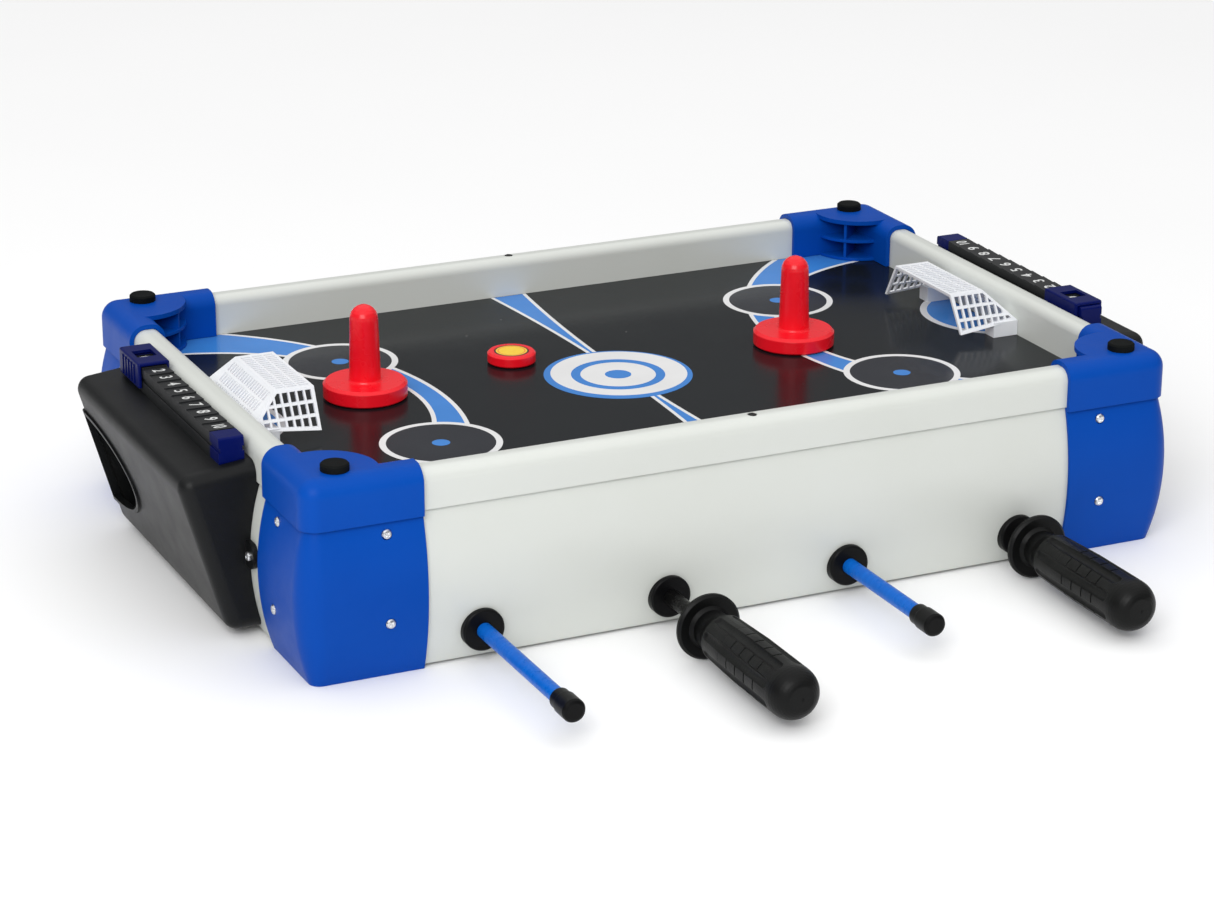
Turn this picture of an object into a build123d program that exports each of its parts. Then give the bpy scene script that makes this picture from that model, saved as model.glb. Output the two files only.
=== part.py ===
"""Two-in-one table game, hockey side up, built as separate pieces.

Axes: X runs along the long side, Y across it (front is -Y), Z is up. The origin is on the
surface the game stands on, under the centre of the field. Units are millimetres.

Wall sections are drawn in two coordinates: d, the distance outward from the inner face of
the wall, and z, the height. All four walls share one section, so do the four corners.
"""
from build123d import *
from math import cos, pi, radians, sin, sqrt
import os

os.makedirs("parts", exist_ok=True)

# ---------------------------------------------------------------- overall layout
FIELD_HALF_X = 222.0        # inner face of the end walls
FIELD_HALF_Y = 143.0        # inner face of the long walls
ROD_SPACING = 100.0
ROD_AXIS_Z = 17.5
FIELD_TOP_Z = 80.0
STANDING_GAP = 1.8          # the walls hang this far above the table, on the corners

# ---------------------------------------------------------------- clearances
FIT_GAP = 0.05              # radial, parts that are pushed together and stay
RUNNING_GAP = 0.08          # radial, shafts that slide and turn
LOOSE_GAP = 0.2             # between neighbouring mouldings
GUIDE_GAP = 0.35            # between a sliding piece and its guide
STOP_GAP = 0.8              # left between ring and bush at the end of a rod's travel

# ---------------------------------------------------------------- walls
RAIL_WIDTH = 14.5
RAIL_HEIGHT = 21.5          # rail top above the hockey field
RAIL_BAND = 20.0            # height of the rail band on the outer face
RAIL_INNER_ROUND = 5.0
RAIL_OUTER_ROUND = 6.5
BULGE_PEAK = 19.0           # d of the fullest point of the barrel-shaped wall
BULGE_PEAK_Z = 42.0
BULGE_FALL = 6.4            # how far it has fallen back where the rail starts
WALL_SKIN = 2.2
BOARD_THICK = 3.0
LEDGE_DEPTH = 5.0
LEDGE_THICK = 3.0

# ---------------------------------------------------------------- corner mouldings
CORNER_SKIN = 2.5           # of the cap
PLATE_SKIN = 1.6            # of the plates below the cap, which stand back from its edge
CORNER_LEG_X = 58.0         # along the long wall, measured from the rail's outer face
CORNER_LEG_Y = 54.5
SKIRT_DROP = 2.0            # the cap's outer skirt reaches this far below the rail band
SHELF_RADIUS = 26.0
SHELF_RIB = 1.6
PAD_RADIUS = 7.0
PAD_HEIGHT = 3.8
PAD_PEG_RADIUS = 2.0
PAD_PEG_LENGTH = 2.2
PAD_INSET_X = -4.2          # pad centre against the inner wall corner, in d
PAD_INSET_Y = 2.8

# ---------------------------------------------------------------- screws
SCREW_HEAD_RADIUS = 2.5
SCREW_HEAD_HEIGHT = 1.7
SCREW_RADIUS = 1.4
SCREW_LENGTH = 7.0
SCREW_SEAT_DEPTH = 0.6
CORNER_SCREW_IN_X = 38.7    # front screws from the end rail's outer face
CORNER_SCREW_IN_Y = 34.5    # end screws from the long rail's outer face
CORNER_SCREW_HEIGHTS = (29.0, 73.4)
RAIL_SCREW_RADIUS = 2.3
RAIL_SCREW_SUNK = 1.3

# ---------------------------------------------------------------- rods
ROD_REACH = 132.0           # tips beyond the inner wall faces when the rod is centred
ROD_RADIUS = 4.0
ROD_BORE_RADIUS = 3.0
ROD_SHIFTS = (6.5, -25.0, 25.0, -1.0)     # rest position of rods 1 to 4 along Y
GRIP_SIDES = (1, -1, 1, -1)               # +1: grip at the back, -1: grip at the front
TRAVEL_CENTRE = 28.0        # shift toward the grip that centres the players
TRAVEL_HALF = 36.0
BUSH_FLANGE_RADIUS = 10.8
BUSH_FACE_D = 21.0
BUSH_SLEEVE_RADIUS = 6.0
BUSH_LIP_RADIUS = 7.5
BUSH_LIP = 1.5
GRIP_LENGTH = 98.0
GRIP_FLANGE_RADIUS = 16.8
GRIP_FLANGE = 4.0
GRIP_FLANGE_EDGE = 1.2      # bevel of the rim, on both sides
GRIP_NECK_RADIUS = 9.6
GRIP_BODY_RADIUS = 13.2
GRIP_SHOULDER_RADIUS = 12.2
GRIP_BODY_START = 19.0
GRIP_DOME = 11.0
GRIP_ROUNDING = 0.62        # how far the dome closes in by its tip
GRIP_DISH = 2.0             # depth of the hollow in the flange's face
GRIP_SOCKET = 82.0
FLUTE_COUNT = 8
FLUTE_RADIUS = 2.9
FLUTE_OVERHANG = 0.9        # flute centre outside the grip's surface
NOTCH_PITCH = 9.0           # rings cut across the ribs between the flutes
NOTCH_WIDTH = 1.0
NOTCH_DEPTH = 0.45
CAP_LENGTH = 17.0
CAP_RADIUS = 5.9
CAP_COLLAR_RADIUS = 5.3
CAP_COLLAR = 5.0
CAP_SOCKET = 13.0
RING_RADIUS = 8.0
RING_WIDTH = 6.0

# ---------------------------------------------------------------- football players
PLAYER_SIDE_ROOM = 59.0     # outer players' centres to the long walls
PLAYER_FOOT_REACH = 31.0    # axis of the rod to the sole
PLAYER_HEAD_REACH = 15.4
PLAYER_BOSS_RADIUS = 6.6
PLAYER_WIDTH = 18.0         # along the rod, at the shoulders
FOOT_WIDTH = 13.0
FOOT_DEPTH = 9.0
FOOT_HEIGHT = 8.0
FOOT_CLEARANCE = 3.5        # sole to football board
FOOTBALL_GOAL_HALF = 34.0
FOOTBALL_GOAL_HEIGHT = 30.0

# ---------------------------------------------------------------- ball boxes
BOX_SIDE_ROOM = 15.0        # between the box and the corner mouldings
BOX_SHOULDER_OUT = 40.1     # outer top edge beyond the rail, before it is rounded
BOX_SHOULDER_DROP = 14.5    # and below the rail top
BOX_TOE_OUT = 16.0          # outer bottom edge
BOX_TOE_Z = 4.5
BOX_CREST_DROP = 10.0       # top where it meets the rail, below the rail top
BOX_SKIN = 2.2
BOX_EDGE_ROUND = 7.0
HAND_INSET_Y = 8.0          # centre of the oval from the box's far end
HAND_CENTRE_Z = 43.5
HAND_HALF_Y = 58.0
HAND_HALF_Z = 23.5
HAND_END_STRIP = 4.5        # left standing beside the opening at the box's far end
HAND_RIM = 2.2
HAND_RIM_HEIGHT = 1.4
HAND_DEPTH_OUT = 6.5        # the opening ends this far outside the rail
TAB_RADIUS = 6.5
TAB_Z = 46.0
TAB_THICK = 2.4

# ---------------------------------------------------------------- scorers
SCORE_OUT = 9.5             # middle of the bar beyond the rail
SCORE_BAR_WIDTH = 13.0
SCORE_RISE = 1.5            # top of the bar above the rail
SCORE_PITCH = 11.63
SCORE_ZERO_Y = 55.5         # where figure 0 stands on the left bar
SCORE_FIGURES = 11
SCORE_BLOCK_LENGTH = 13.0
SCORE_SHINGLE = 0.6
SCORE_GROOVE = 0.9
SCORE_GROOVE_DROP = 7.5     # lower edge of the groove below the bar's top
SCORE_GROOVE_HEIGHT = 2.4
SLIDER_LENGTH = 32.0
SLIDER_SKIN = 1.7
SLIDER_WINDOW_X = 10.4
SLIDER_WINDOW_Y = 10.8
SLIDER_FOOT_GAP = 0.5
SLIDER_RIBS = 5

# ---------------------------------------------------------------- hockey goals
GOAL_DEPTH = 37.4           # front edge of the top panel to the end wall
GOAL_FOOT_BACK = 0.7        # front lower end of the side panels behind that edge
GOAL_TOP_DEPTH = 20.6
GOAL_HEIGHT = 24.8
GOAL_FOOT_LIFT = 5.0        # lower front end of the side panels above the field
GOAL_TOP_HALF_Y = 30.0
GOAL_FOOT_HALF_Y = 42.0
GOAL_SHIFT_Y = 1.5          # both goals stand this far towards the back
GOAL_PANEL = 1.6
GOAL_FRAME = 1.4            # solid rim round the openings of a side panel
GOAL_CELL_X = 3.0
GOAL_CELL_Z = 5.0
GOAL_BAR = 1.1              # between two openings of a panel
GOAL_SMALLEST_CELL = 1.5    # area below which a clipped opening is left out
GOAL_BASE_DEPTH = 15.0
GOAL_BASE_HEIGHT = 8.5
GOAL_BASE_WIDTH = 9.0
GOAL_SLOTS = 18             # in a row
GOAL_SLOT_ROWS = 3          # in the top panel, and as many in the back panel
GOAL_SLOT_WIDTH = 1.7
GOAL_SLOT_RIM = 1.6         # solid rim before the first and behind the last row
GOAL_SLOT_SIDE = 2.5        # solid rim beside the rows

# ---------------------------------------------------------------- pushers and puck
PUSHER_RADIUS = 22.0
PUSHER_BASE = 8.7
PUSHER_HEIGHT = 49.5
PUSHER_HANDLE_FOOT_RADIUS = 8.3
PUSHER_HANDLE_TOP_RADIUS = 7.4
PUSHER_SKIN = 2.2
PUSHER_PLACES = ((-141.0, 13.0), (102.5, -2.0))
PUCK_RADIUS = 13.0
PUCK_HEIGHT = 6.0
PUCK_PLACE = (-49.5, 33.0)
LABEL_RADIUS = 9.2
LABEL_THICK = 0.5

# ---------------------------------------------------------------- sizes that follow
RAIL_TOP_Z = FIELD_TOP_Z + RAIL_HEIGHT
RAIL_STEP_Z = RAIL_TOP_Z - RAIL_BAND
BULGE_RISE = RAIL_STEP_Z - BULGE_PEAK_Z
BULGE_RADIUS = (BULGE_RISE ** 2 + BULGE_FALL ** 2) / (2 * BULGE_FALL)
RAIL_OUT_X = FIELD_HALF_X + RAIL_WIDTH
RAIL_OUT_Y = FIELD_HALF_Y + RAIL_WIDTH
CORNER_OFFSET = CORNER_SKIN + LOOSE_GAP
PLATE_OFFSET = PLATE_SKIN + LOOSE_GAP
CORNER_AXIS_D = RAIL_WIDTH - RAIL_OUTER_ROUND - LOOSE_GAP   # corners are turned about this d
CORNER_POST_X = FIELD_HALF_X + CORNER_AXIS_D
CORNER_POST_Y = FIELD_HALF_Y + CORNER_AXIS_D
CAP_TOP_Z = RAIL_TOP_Z + CORNER_OFFSET
SKIRT_BOTTOM_Z = RAIL_STEP_Z - SKIRT_DROP
PLAYER_BOARD_Z = ROD_AXIS_Z + PLAYER_FOOT_REACH + FOOT_CLEARANCE    # football side
PLAYER_PITCH = FIELD_HALF_Y - PLAYER_SIDE_ROOM
ROD_LENGTH = 2 * (FIELD_HALF_Y + ROD_REACH)     # tip of the end cap to tip of the grip
ROD_FIT_RADIUS = ROD_RADIUS + FIT_GAP
ROD_RUN_RADIUS = ROD_RADIUS + RUNNING_GAP
RING_FACE_Y = FIELD_HALF_Y - BUSH_LIP - LOOSE_GAP - TRAVEL_HALF - STOP_GAP
BUSH_HOLE_RADIUS = BUSH_SLEEVE_RADIUS + FIT_GAP
BOX_HALF_Y = RAIL_OUT_Y - CORNER_LEG_Y - BOX_SIDE_ROOM
BOX_SHOULDER_X = RAIL_OUT_X + BOX_SHOULDER_OUT
BOX_SHOULDER_Z = RAIL_TOP_Z - BOX_SHOULDER_DROP
BOX_TOE_X = RAIL_OUT_X + BOX_TOE_OUT
BOX_CREST_Z = RAIL_TOP_Z - BOX_CREST_DROP
HAND_CENTRE_Y = BOX_HALF_Y - HAND_INSET_Y
HAND_DEPTH_X = RAIL_OUT_X + HAND_DEPTH_OUT
SCORE_X = RAIL_OUT_X + SCORE_OUT
SCORE_TOP_Z = RAIL_TOP_Z + SCORE_RISE
SCORE_GROOVE_Z = SCORE_TOP_Z - SCORE_GROOVE_DROP
GOAL_REAR_X = FIELD_HALF_X - LOOSE_GAP
GOAL_FRONT_X = GOAL_REAR_X - GOAL_DEPTH
GOAL_FOOT_X = GOAL_FRONT_X + GOAL_FOOT_BACK
GOAL_TOP_Z = FIELD_TOP_Z + GOAL_HEIGHT
GOAL_BASE_Z = FIELD_TOP_Z + GOAL_BASE_HEIGHT
GOAL_FLARE = (GOAL_FOOT_HALF_Y - GOAL_TOP_HALF_Y) / (GOAL_HEIGHT - GOAL_FOOT_LIFT)


def save(name, shape):
    """Write one piece to its own file."""
    shape.label = name
    export_step(shape, f"parts/{name}.step")


def wall_d(z, grow=0.0):
    """Distance of the barrel-shaped outer surface from the inner face at height z."""
    radius = BULGE_RADIUS + grow
    return BULGE_PEAK - BULGE_RADIUS + sqrt(radius ** 2 - (z - BULGE_PEAK_Z) ** 2)


def section_plane(origin, outward):
    """Plane whose local x is d (outward) and local y is z (up)."""
    out = Vector(*outward)
    return Plane(origin=origin, x_dir=out, z_dir=out.cross(Vector(0, 0, 1)))


def wall_outline(grow=0.0, inner_d=0.0, bottom_z=STANDING_GAP, step_z=RAIL_STEP_Z, thin=0.0,
                 arched=True):
    """Closed section of a wall, grown outward and upward, by thin less below the step.

    arched also rounds its inner edge.
    """
    low = grow - thin
    top = RAIL_TOP_Z + grow
    rail_d = RAIL_WIDTH + grow
    outer = RAIL_OUTER_ROUND + grow
    inner = RAIL_INNER_ROUND - inner_d
    low_point = (wall_d(bottom_z, low), bottom_z)
    step_point = (wall_d(step_z, low), step_z)
    edges = [
        Line((inner_d, bottom_z), low_point),
        ThreePointArc(low_point, (BULGE_PEAK + low, BULGE_PEAK_Z), step_point),
        Line(step_point, (rail_d, step_z)),
        Line((rail_d, step_z), (rail_d, top - outer)),
        JernArc((rail_d, top - outer), (0, 1), outer, 90),
    ]
    if arched:
        edges.append(Line((rail_d - outer, top), (inner_d + inner, top)))
        edges.append(JernArc((inner_d + inner, top), (-1, 0), inner, 90))
        edges.append(Line((inner_d, top - inner), (inner_d, bottom_z)))
    else:
        edges.append(Line((rail_d - outer, top), (inner_d, top)))
        edges.append(Line((inner_d, top), (inner_d, bottom_z)))
    return make_face(edges)


def hollow_outline():
    """The void inside a wall, one skin in from its section."""
    return offset(wall_outline(), amount=-WALL_SKIN, kind=Kind.INTERSECTION)


def along_x(face, x_from, x_to):
    """A (d, z) face swept along the front wall (outward is -Y)."""
    plane = section_plane((x_to, -FIELD_HALF_Y, 0), (0, -1, 0))
    return extrude(plane * face, amount=x_to - x_from)


def along_y(face, y_from, y_to):
    """A (d, z) face swept along the left wall (outward is -X)."""
    plane = section_plane((-FIELD_HALF_X, y_from, 0), (-1, 0, 0))
    return extrude(plane * face, amount=y_to - y_from)


def box(x, y, z):
    """A box from (low, high) pairs."""
    size = (x[1] - x[0], y[1] - y[0], z[1] - z[0])
    middle = ((x[0] + x[1]) / 2, (y[0] + y[1]) / 2, (z[0] + z[1]) / 2)
    return Pos(*middle) * Box(*size)


def rod_along(axis, origin, radius, length):
    """A cylinder that starts at origin and runs along axis."""
    plane = Plane(origin=origin, z_dir=axis)
    return extrude(plane * Circle(radius), amount=length)


def turned(points, origin, axis):
    """A solid turned about axis from (radius, distance) points; starts at origin."""
    along = Vector(*axis)
    side = Vector(0, 0, 1) if abs(along.Z) < 0.5 else Vector(1, 0, 0)
    plane = Plane(origin=origin, x_dir=side, z_dir=side.cross(along))
    profile = plane * make_face(Polyline(*points, close=True))
    return revolve(profile, Axis(origin, along), 360)


def half_turn(shape):
    """The same piece at the opposite end of the game."""
    return Rot(0, 0, 180) * shape


# ================================================================ boards
def board(top_z):
    x, y = FIELD_HALF_X - LOOSE_GAP, FIELD_HALF_Y - LOOSE_GAP
    return box((-x, x), (-y, y), (top_z - BOARD_THICK, top_z))


def ledges(half_length, across):
    """Two ribs inside a wall: one under the hockey board, one over the football board."""
    low = PLAYER_BOARD_Z + BOARD_THICK
    high = FIELD_TOP_Z - BOARD_THICK
    overlap = WALL_SKIN / 2
    made = []
    for z in ((low, low + LEDGE_THICK), (high - LEDGE_THICK, high)):
        if across == "x":
            y = (-FIELD_HALF_Y - overlap, -FIELD_HALF_Y + LEDGE_DEPTH)
            made.append(box((-half_length, half_length), y, z))
        else:
            x = (-FIELD_HALF_X - overlap, -FIELD_HALF_X + LEDGE_DEPTH)
            made.append(box(x, (-half_length, half_length), z))
    return made


# ================================================================ walls
def screw_hole(origin, inward, head_radius=SCREW_HEAD_RADIUS):
    """Pilot hole, and the round seat that clears everything outward of the head's underside."""
    start = Vector(*origin) - Vector(*inward) * 6
    hole = rod_along(inward, origin, SCREW_RADIUS + FIT_GAP, SCREW_LENGTH + 1)
    seat = rod_along(inward, start, head_radius + LOOSE_GAP, 6)
    return hole, seat


def corner_screw_spots():
    """Seat centre and inward direction of the four screws of the front left corner."""
    spots = []
    for z in CORNER_SCREW_HEIGHTS:
        d = wall_d(z, PLATE_OFFSET) - SCREW_SEAT_DEPTH
        spots.append(((-RAIL_OUT_X + CORNER_SCREW_IN_X, -FIELD_HALF_Y - d, z), (0, 1, 0)))
        spots.append(((-FIELD_HALF_X - d, -RAIL_OUT_Y + CORNER_SCREW_IN_Y, z), (1, 0, 0)))
    return spots


def pan_screw(origin, inward, head_radius=SCREW_HEAD_RADIUS, length=SCREW_LENGTH):
    """A pan-head screw with a cross recess; its head sits on origin."""
    out = Vector(*inward) * -1
    crown = SCREW_HEAD_HEIGHT
    profile = [
        (0, -length),
        (SCREW_RADIUS, -length),
        (SCREW_RADIUS, 0),
        (head_radius, 0),
        (head_radius, crown * 0.45),
        (head_radius * 0.8, crown * 0.85),
        (head_radius * 0.45, crown),
        (0, crown),
    ]
    screw = turned(profile, origin, out)
    top = Vector(*origin) + out * (crown - 0.4)
    plane = Plane(origin=top, z_dir=out)
    for turn in (45, 135):
        slot = plane * Rot(0, 0, turn) * Rectangle(head_radius * 1.1, head_radius * 0.28)
        screw -= extrude(slot, amount=2)
    return screw


def long_wall():
    """Front wall: hollow section, rod holes, ledges and screw holes."""
    half = CORNER_POST_X - 1.0
    wall = along_x(wall_outline(), -half, half)
    wall -= along_x(hollow_outline(), -half - 1, half + 1)
    for ledge in ledges(FIELD_HALF_X - LEDGE_DEPTH - 1.0, "x"):
        wall += ledge
    for i in range(len(ROD_SHIFTS)):
        start = (rod_x(i), -FIELD_HALF_Y - BULGE_PEAK - 5, ROD_AXIS_Z)
        wall -= rod_along((0, 1, 0), start, BUSH_HOLE_RADIUS, BULGE_PEAK + 10)
    for origin, inward in corner_screw_spots():
        if inward[1]:
            for x in (origin[0], -origin[0]):
                wall -= screw_hole((x, origin[1], origin[2]), inward)[0]
    rail_seat = (0, -FIELD_HALF_Y - RAIL_WIDTH / 2, RAIL_TOP_Z - RAIL_SCREW_SUNK)
    for cutter in screw_hole(rail_seat, (0, 0, -1), RAIL_SCREW_RADIUS):
        wall -= cutter
    return wall


def end_wall():
    """Left wall: hollow on both sides of the football goal opening."""
    half = FIELD_HALF_Y - LOOSE_GAP
    wall = along_y(wall_outline(), -half, half)
    solid_half = FOOTBALL_GOAL_HALF + WALL_SKIN
    for low, high in ((-half - 1, -solid_half), (solid_half, half + 1)):
        wall -= along_y(hollow_outline(), low, high)
    for ledge in ledges(FIELD_HALF_Y - LEDGE_DEPTH - 1.0, "y"):
        wall += ledge
    x = (-FIELD_HALF_X - BULGE_PEAK - 5, -FIELD_HALF_X + 1)
    y = (-FOOTBALL_GOAL_HALF, FOOTBALL_GOAL_HALF)
    wall -= box(x, y, (PLAYER_BOARD_Z - FOOTBALL_GOAL_HEIGHT, PLAYER_BOARD_Z))
    for origin, inward in corner_screw_spots():
        if inward[0]:
            for y in (origin[1], -origin[1]):
                wall -= screw_hole((origin[0], y, origin[2]), inward)[0]
    for origin, inward in tab_screw_spots():
        wall -= screw_hole(origin, inward)[0]
    return wall


# ================================================================ corner mouldings
def round_corner(grow, bottom_z, step_z, thin, extra):
    """Wall sections along both legs of the front left corner, turned round the post between.

    The section is grown all round by grow; extra lengthens both legs.
    """
    face = wall_outline(grow, -grow, bottom_z, step_z, thin)
    body = along_x(face, -CORNER_POST_X, -RAIL_OUT_X + CORNER_LEG_X + extra)
    body += along_y(face, -CORNER_POST_Y, -RAIL_OUT_Y + CORNER_LEG_Y + extra)
    quarter = wall_outline(grow, CORNER_AXIS_D, bottom_z, step_z, thin, arched=False)
    plane = section_plane((-FIELD_HALF_X, -CORNER_POST_Y, 0), (-1, 0, 0))
    post = Axis((-CORNER_POST_X, -CORNER_POST_Y, 0), (0, 0, 1))
    return body + revolve(plane * quarter, post, 90)


def shelf(z_from, z_to):
    """A quarter disc between the rails, carried outward over the flat top of the rails."""
    disc = rod_along((0, 0, 1), (-FIELD_HALF_X, -FIELD_HALF_Y, z_from), SHELF_RADIUS, z_to - z_from)
    x = (-CORNER_POST_X, -FIELD_HALF_X + SHELF_RADIUS)
    y = (-CORNER_POST_Y, -FIELD_HALF_Y + SHELF_RADIUS)
    return disc & box(x, y, (z_from, z_to))


def corner():
    """Front left corner: cap over both rails, ribbed shelf, outer plates, screw seats."""
    floor_z = FIELD_TOP_Z + LOOSE_GAP
    web_z = CAP_TOP_Z - CORNER_SKIN
    middle_z = (floor_z + web_z) / 2
    shape = round_corner(CORNER_OFFSET, 0.0, SKIRT_BOTTOM_Z, CORNER_SKIN - PLATE_SKIN, 0.0)
    shape += shelf(floor_z, floor_z + SHELF_RIB)
    shape += shelf(middle_z, middle_z + SHELF_RIB)
    shape += shelf(web_z, CAP_TOP_Z)
    rib = Pos(SHELF_RADIUS / 2, 0, 0) * Box(SHELF_RADIUS - 2, SHELF_RIB, CAP_TOP_Z - floor_z - 1)
    shape += Pos(-FIELD_HALF_X, -FIELD_HALF_Y, (floor_z + CAP_TOP_Z) / 2) * Rot(0, 0, 45) * rib
    room_z = STANDING_GAP - LOOSE_GAP
    shape -= round_corner(LOOSE_GAP, room_z, RAIL_STEP_Z - LOOSE_GAP, 0.0, 1.0)
    under_x = (-FIELD_HALF_X - LOOSE_GAP, -FIELD_HALF_X + CORNER_LEG_X)
    under_y = (-FIELD_HALF_Y - LOOSE_GAP, -FIELD_HALF_Y + CORNER_LEG_Y)
    shape -= box(under_x, under_y, (-1, floor_z))
    for origin, inward in corner_screw_spots():
        for cutter in screw_hole(origin, inward):
            shape -= cutter
    peg = (*pad_place(), CAP_TOP_Z - PAD_PEG_LENGTH)
    return shape - rod_along((0, 0, 1), peg, PAD_PEG_RADIUS + FIT_GAP, PAD_PEG_LENGTH + 1)


def pad_place():
    return (-FIELD_HALF_X - PAD_INSET_X, -FIELD_HALF_Y - PAD_INSET_Y)


def pad():
    """Rubber foot with a peg that snaps into the cap."""
    x, y = pad_place()
    profile = [
        (0, -PAD_PEG_LENGTH + 0.2),
        (PAD_PEG_RADIUS, -PAD_PEG_LENGTH + 0.2),
        (PAD_PEG_RADIUS, 0),
        (PAD_RADIUS, 0),
        (PAD_RADIUS, PAD_HEIGHT - 0.8),
        (PAD_RADIUS - 0.8, PAD_HEIGHT),
        (0, PAD_HEIGHT),
    ]
    return turned(profile, (x, y, CAP_TOP_Z), (0, 0, 1))


def corner_screws():
    """The four screws of the front left corner."""
    return Compound(children=[pan_screw(*spot) for spot in corner_screw_spots()])


def rail_screws():
    """One small screw in the middle of each long rail."""
    made = []
    for side in (-1, 1):
        place = (0, side * (FIELD_HALF_Y + RAIL_WIDTH / 2), RAIL_TOP_Z - RAIL_SCREW_SUNK)
        made.append(pan_screw(place, (0, 0, -1), RAIL_SCREW_RADIUS))
    return Compound(children=made)


# ================================================================ rods
def rod_x(i):
    return (i - (len(ROD_SHIFTS) - 1) / 2) * ROD_SPACING


def bush(i, side):
    """Flanged bush in the wall on the given side (-1 front, +1 back)."""
    out = (0, side, 0)
    start = (rod_x(i), side * FIELD_HALF_Y, ROD_AXIS_Z)
    inner = Vector(*start) - Vector(*out) * (BUSH_LIP + LOOSE_GAP)
    flange = rod_along(out, start, BUSH_FLANGE_RADIUS, BUSH_FACE_D)
    edge = flange.edges().filter_by(GeomType.CIRCLE).sort_by(Axis.Y)[0 if side < 0 else -1]
    flange = fillet(edge, 1.2)
    envelope = along_x(wall_outline(), rod_x(i) - 20, rod_x(i) + 20)
    flange -= envelope if side < 0 else mirror(envelope, Plane.XZ)
    sleeve = rod_along(out, inner, BUSH_SLEEVE_RADIUS, BUSH_FACE_D + 1)
    lip = rod_along(out, inner, BUSH_LIP_RADIUS, BUSH_LIP)
    hole = rod_along(out, inner - Vector(*out), ROD_RUN_RADIUS, BUSH_FACE_D + 8)
    return flange + sleeve + lip - hole


def rod_bushes(i):
    return Compound(children=[bush(i, side) for side in (-1, 1)])


def rod_end(i, grip_end):
    """Tip of a rod: the grip end or the cap end."""
    side = GRIP_SIDES[i] if grip_end else -GRIP_SIDES[i]
    return (rod_x(i), side * ROD_LENGTH / 2 + ROD_SHIFTS[i], ROD_AXIS_Z), side


def rod(i):
    """Steel tube between the bottoms of the cap's and the grip's sockets."""
    (x, cap_tip, z), side = rod_end(i, False)
    grip_tip = rod_end(i, True)[0][1]
    first = cap_tip - side * (CAP_LENGTH - CAP_SOCKET + LOOSE_GAP)
    last = grip_tip + side * (GRIP_LENGTH - GRIP_SOCKET + LOOSE_GAP)
    length = abs(last - first)
    tube = rod_along((0, -side, 0), (x, first, z), ROD_RADIUS, length)
    return tube - rod_along((0, -side, 0), (x, first, z), ROD_BORE_RADIUS, length)


def grip(i):
    """Moulded grip: dished flange, short neck, ribbed body and domed end."""
    (x, tip, z), side = rod_end(i, True)
    start = (x, tip - side * GRIP_LENGTH, z)
    body_end = GRIP_LENGTH - GRIP_DOME
    flange_top = GRIP_FLANGE_RADIUS - GRIP_FLANGE_EDGE
    profile = [
        (0, GRIP_DISH),
        (GRIP_NECK_RADIUS, GRIP_DISH),
        (flange_top, 0),
        (GRIP_FLANGE_RADIUS, GRIP_FLANGE_EDGE),
        (GRIP_FLANGE_RADIUS, GRIP_FLANGE - GRIP_FLANGE_EDGE),
        (flange_top, GRIP_FLANGE),
        (GRIP_NECK_RADIUS + 1.5, GRIP_FLANGE - 0.4),
        (GRIP_NECK_RADIUS, GRIP_FLANGE + 1.5),
        (GRIP_NECK_RADIUS + 0.4, GRIP_BODY_START - 6),
        (GRIP_SHOULDER_RADIUS, GRIP_BODY_START),
        (GRIP_BODY_RADIUS, GRIP_BODY_START + 30),
        (GRIP_BODY_RADIUS, body_end),
    ]
    for step in range(1, 9):
        angle = radians(10 * step)
        radius = GRIP_BODY_RADIUS * (1 - GRIP_ROUNDING * (1 - cos(angle)))
        profile.append((radius, body_end + GRIP_DOME * sin(angle)))
    profile.append((0, GRIP_LENGTH))
    shape = turned(profile, start, (0, side, 0))
    notch_from = GRIP_BODY_START + NOTCH_PITCH
    for k in range(int((body_end - notch_from) / NOTCH_PITCH)):
        place = (x, start[1] + side * (notch_from + k * NOTCH_PITCH), z)
        ring = rod_along((0, side, 0), place, GRIP_BODY_RADIUS + 1, NOTCH_WIDTH)
        shape -= ring - rod_along((0, side, 0), place, GRIP_BODY_RADIUS - NOTCH_DEPTH, NOTCH_WIDTH)
    flute_from = start[1] + side * (GRIP_BODY_START + 3)
    flute_length = body_end - GRIP_BODY_START - 7
    reach = GRIP_BODY_RADIUS + FLUTE_OVERHANG
    for k in range(FLUTE_COUNT):
        angle = 2 * pi * (k + 0.5) / FLUTE_COUNT
        place = (x + reach * sin(angle), flute_from, z + reach * cos(angle))
        flute = rod_along((0, side, 0), place, FLUTE_RADIUS, flute_length)
        near = Pos(*place) * Sphere(FLUTE_RADIUS)
        far = Pos(place[0], place[1] + side * flute_length, place[2]) * Sphere(FLUTE_RADIUS)
        shape -= flute + near + far
    return shape - rod_along((0, side, 0), start, ROD_FIT_RADIUS, GRIP_SOCKET)


def end_cap(i):
    """Black cap on the plain end of a rod."""
    (x, tip, z), side = rod_end(i, False)
    start = (x, tip - side * CAP_LENGTH, z)
    profile = [
        (0, 0),
        (CAP_COLLAR_RADIUS, 0),
        (CAP_COLLAR_RADIUS, CAP_COLLAR),
        (CAP_RADIUS, CAP_COLLAR + 0.8),
        (CAP_RADIUS, CAP_LENGTH - 1.8),
        (CAP_RADIUS - 0.6, CAP_LENGTH - 0.6),
        (CAP_RADIUS - 1.8, CAP_LENGTH),
        (0, CAP_LENGTH),
    ]
    shape = turned(profile, start, (0, side, 0))
    return shape - rod_along((0, side, 0), start, ROD_FIT_RADIUS, CAP_SOCKET)


def player_centre(i):
    """Y of the middle player of rod i: centred when the rod is in mid travel."""
    return ROD_SHIFTS[i] - GRIP_SIDES[i] * TRAVEL_CENTRE


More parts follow.
